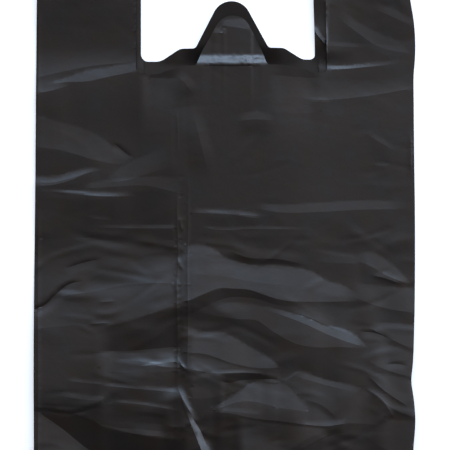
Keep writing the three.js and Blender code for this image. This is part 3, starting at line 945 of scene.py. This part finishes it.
# each ply lies at its own share of the gap between the two panels
fold_high, fold_low = 0.93, 0.10
tucked = 0.42 - 0.06 * ease(from_side, 60, 80)
half_gap = 0.14  # between the two halves of a tuck, up to the fold that joins them
shares = {
    "front": fold_high + (1 - fold_high) * round_over,
    "front_tuck": fold_high + (tucked - fold_high) * round_over,
    "back_tuck": (fold_low + (tucked - half_gap - fold_low) * round_over
                  + half_gap * ease(from_side, 74, 80)),
    "back": fold_low * (1 - round_over),
}
kinds = np.array([ply.removesuffix("_right").removesuffix("_left") for ply in plies])
height = under.copy()
for kind, share in shares.items():
    height[kinds == kind] += (gap * share)[kinds == kind]

# the cut plies inside the right handle catch the light along their edge
pocket = crease([(65.8, 132), (68.4, 127), (71, 122.6), (76, 118.4)],
                rise=1.9, up=2.4, down=5, fade=(0.08, 0.12))
leaning = 3.2 * hump(placed_y, 130, 156, 160, 190) * (1 - ease(placed_x, 76, 84))
these = (plies == "front_tuck_right") & (placed_y > 90)
height[these] += (fold(placed_x, placed_y, **pocket) + leaning)[these]

# and both welds are pressed flat
weld_lines, weld_width, weld_press = (-257, 260), 2.2, 0.75
at_weld = sum(np.exp(-((flat_y - weld) / weld_width) ** 4) for weld in weld_lines)
height = start_height + (height - start_height) * (1 - weld_press * at_weld)
print("the film lies", round(float(height.min()), 2), "to", round(float(height.max()), 2), "mm high")

# %% The film as a mesh, given its thickness
film_thickness = 0.08  # in mm, drawn thicker than the real film so that its edges show
crisp_angle = 50
mesh = bpy.data.meshes.new("carrier_bag_film")
mesh.from_pydata(np.column_stack([placed_x, placed_y, height]) / 1000, [], faces)
bag = bpy.data.objects.new("carrier_bag_film", mesh)
bpy.context.collection.objects.link(bag)
bpy.context.view_layer.objects.active = bag
bag.select_set(True)
pairs = np.zeros(2 * len(mesh.edges), int)
mesh.edges.foreach_get("vertices", pairs)
pairs = np.sort(pairs.reshape(-1, 2), axis=1)
marked = np.isin(pairs @ (len(points), 1), np.array(sharp) @ (len(points), 1))
mesh.attributes.new("sharp_edge", "BOOLEAN", "EDGE").data.foreach_set("value", marked)
wall = bag.modifiers.new("film thickness", "SOLIDIFY")
wall.thickness = film_thickness / 1000
wall.offset = -1.0
bpy.ops.object.modifier_apply(modifier=wall.name)
bpy.ops.object.shade_smooth_by_angle(angle=math.radians(crisp_angle))
mesh = bag.data
mesh.calc_loop_triangles()
print("the film has", len(mesh.loop_triangles), "triangles and", int(marked.sum()), "crisp edges")

# %% [markdown]
# ## The material of the film
#
# Black film with a soft gloss. Its colour drifts a little between two near blacks, its gloss drifts
# too, and a fine relief breaks up the reflections the way thin film does.

# %% Sums on sockets


class Wire:
    """An output socket of a material, so that shader maths can be written as sums."""

    def __init__(self, socket):
        self.socket = socket

    def node(self, kind, settings=None, out=0, **inputs):
        """A new node, with its settings first and then the values or wires of its sockets."""
        tree = self.socket.id_data
        made = tree.nodes.new(kind)
        for name, value in (settings or {}).items():
            if name == "stops":
                for k, (at, colour) in enumerate(value):
                    stop = made.color_ramp.elements[k] if k < 2 else made.color_ramp.elements.new(at)
                    stop.position = at
                    stop.color = (*colour, 1)
            else:
                setattr(made, name, value)
        for name, value in inputs.items():
            key = int(name[1:]) if name[0] == "n" and name[1:].isdigit() else name.replace("_", " ")
            if isinstance(value, Wire):
                tree.links.new(made.inputs[key], value.socket)
            else:
                made.inputs[key].default_value = value
        return Wire(made.outputs[out])

    def into(self, socket):
        """Links this wire to an input socket."""
        self.socket.id_data.links.new(socket, self.socket)

    def maths(self, operation, a, b=0.0):
        return self.node("ShaderNodeMath", {"operation": operation}, n0=a, n1=b)

    def __add__(self, other):
        return self.maths("ADD", self, other)

    def __mul__(self, other):
        return self.maths("MULTIPLY", self, other)

    __radd__ = __add__
    __rmul__ = __mul__


# %% The black film


def new_material(name):
    """A material and its Principled shader."""
    material = bpy.data.materials.new(name)
    material.use_nodes = True
    shader = material.node_tree.nodes["Principled BSDF"]
    return material, shader


film, shader = new_material("black_film")
shader.inputs["IOR"].default_value = 1.5
place = film.node_tree.nodes.new("ShaderNodeTexCoord")
spot = Wire(place.outputs["Object"])
flat_spot = spot.node("ShaderNodeMapping", Vector=spot, Scale=(1000, 1000, 0))

cloudy = spot.node("ShaderNodeTexNoise", Vector=flat_spot, Scale=0.045, Detail=4.0, Roughness=0.6)
blacks = [(0.36, (0.0152, 0.0098, 0.0072)), (0.64, (0.0118, 0.0096, 0.0088))]
colour = spot.node("ShaderNodeValToRGB", {"stops": blacks}, Fac=cloudy)
colour.into(shader.inputs["Base Color"])
rough = 0.26 + 0.10 * spot.node("ShaderNodeTexNoise", Vector=flat_spot, Scale=0.09, Detail=4.0)
rough.into(shader.inputs["Roughness"])

crinkle = spot.node("ShaderNodeTexNoise", Vector=flat_spot, Scale=0.16, Detail=3.0, Roughness=0.55)
fine = spot.node("ShaderNodeTexNoise", Vector=flat_spot, Scale=0.9, Detail=2.0)
drawn_out = spot.node("ShaderNodeMapping", Vector=spot, Scale=(1000, 40, 0))
streaks = spot.node("ShaderNodeTexNoise", Vector=drawn_out, Scale=0.5, Detail=2.0)
relief = 0.10 * crinkle + 0.012 * fine + 0.012 * streaks
bump = spot.node("ShaderNodeBump", Height=relief, Distance=0.001, Strength=1.0)
bump.into(shader.inputs["Normal"])
bag.data.materials.append(film)

# %% The bag stands for its CAD node
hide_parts("carrier_bag")
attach(bag, "root")

# %% The floor
bpy.ops.object.select_all(action="DESELECT")
bpy.ops.mesh.primitive_plane_add(size=8, location=(0, 0, 0))
floor = bpy.context.object
floor.name = "floor"
white, paint = new_material("white_table")
paint.inputs["Base Color"].default_value = (0.8, 0.8, 0.8, 1)
paint.inputs["Roughness"].default_value = 0.6
table_glow = 0.45  # the camera and the film's reflections see it, but it lights nothing
tree = white.node_tree
ray = tree.nodes.new("ShaderNodeLightPath")
glow = tree.nodes.new("ShaderNodeEmission")
seen_by = Wire(ray.outputs["Is Camera Ray"]) + Wire(ray.outputs["Is Glossy Ray"])
seen_by = seen_by + Wire(ray.outputs["Is Transmission Ray"])
strength = table_glow * seen_by
strength.into(glow.inputs["Strength"])
both = tree.nodes.new("ShaderNodeAddShader")
tree.links.new(both.inputs[0], paint.outputs[0])
tree.links.new(both.inputs[1], glow.outputs[0])
tree.links.new(tree.nodes["Material Output"].inputs["Surface"], both.outputs[0])
floor.data.materials.append(white)

# %% [markdown]
# ## The light
#
# A room with one big window does most of the work: it is bright and cool on the side of the handles,
# a little brighter to the right, and fades to dim and warm on the other side, so every slope of the
# film shows its tilt. Low down it is dimmer again, so that the film stays dark from the side. A narrow
# strip light on the bright side gives the steepest folds their glints, and a side light picks out the
# upright creases.

# %% The room
world = bpy.data.worlds.new("room")
bpy.context.scene.world = world
world.use_nodes = True
tree = world.node_tree
room = tree.nodes["Background"]
looking = Wire(tree.nodes.new("ShaderNodeTexCoord").outputs["Generated"])


def share_of(axis):
    """How far the direction looked in points along an axis, from -1 to 1."""
    return looking.node("ShaderNodeVectorMath", {"operation": "DOT_PRODUCT"}, out=1, n0=looking, n1=axis)


towards = share_of((0, 1, 0))


def blend(start, stop, before, after):
    """A smooth step from one value to another, by how far the direction points to the window."""
    return looking.node("ShaderNodeMapRange", {"interpolation_type": "SMOOTHSTEP"},
                        n0=towards, n1=start, n2=stop, n3=before, n4=after)


overhead = 0.385
across = looking.maths("POWER", 1.7, share_of((1, 0, 0)))
up_to_window = looking.maths("POWER", 19.0, looking.maths("MINIMUM", towards, 0.62))
behind = blend(-0.50, -0.02, 0.35, 1.0)
horizon = blend(0.66, 0.96, 1.0, 0.18)
far_side = blend(-0.92, -0.68, 0.32, 0.0)
brightness = overhead * across * up_to_window * behind * horizon + far_side
warm_to_cool = [(0.08, (1.08, 0.97, 0.92)), (0.50, (0.80, 0.99, 1.26))]
daylight = looking.node("ShaderNodeValToRGB", {"stops": warm_to_cool}, Fac=towards)

# %% The room's shader, which the camera sees as plain white
camera_sees = Wire(tree.nodes.new("ShaderNodeLightPath").outputs["Is Camera Ray"])
daylight.into(room.inputs["Color"])
brightness.into(room.inputs["Strength"])
plain = tree.nodes.new("ShaderNodeBackground")
choice = tree.nodes.new("ShaderNodeMixShader")
camera_sees.into(choice.inputs["Fac"])
tree.links.new(choice.inputs[1], room.outputs[0])
tree.links.new(choice.inputs[2], plain.outputs[0])
tree.links.new(tree.nodes["World Output"].inputs["Surface"], choice.outputs[0])
plain.inputs["Color"].default_value = (1, 1, 1, 1)
bpy.context.scene.view_settings.view_transform = "Standard"

# %% The strip light, and a side light for the upright creases
light_distance = 1.6


def light_panel(name, rotation, way, size, radiance, colour):
    """A rectangle of light that shines from a direction on the middle of the bag."""
    bpy.ops.object.light_add(
        type="AREA", rotation=rotation, location=[light_distance * part for part in way])
    lamp = bpy.context.object
    lamp.name = name
    lamp.data.shape = "RECTANGLE"
    lamp.data.size, lamp.data.size_y = size
    lamp.data.energy = radiance * math.pi * size[0] * size[1]
    lamp.data.color = colour
    print("the", name.replace("_", " "), "gives", round(lamp.data.energy, 1), "W")


strip_tilt, side_tilt = math.radians(57), math.radians(62)
light_panel("strip_light", (-strip_tilt, 0, 0), (0, math.sin(strip_tilt), math.cos(strip_tilt)),
            (1.6, 0.20), 12.0, (0.74, 0.97, 1.30))
light_panel("side_light", (0, side_tilt, 0), (math.sin(side_tilt), 0, math.cos(side_tilt)),
            (0.36, 1.4), 3.8, (0.74, 0.96, 1.26))
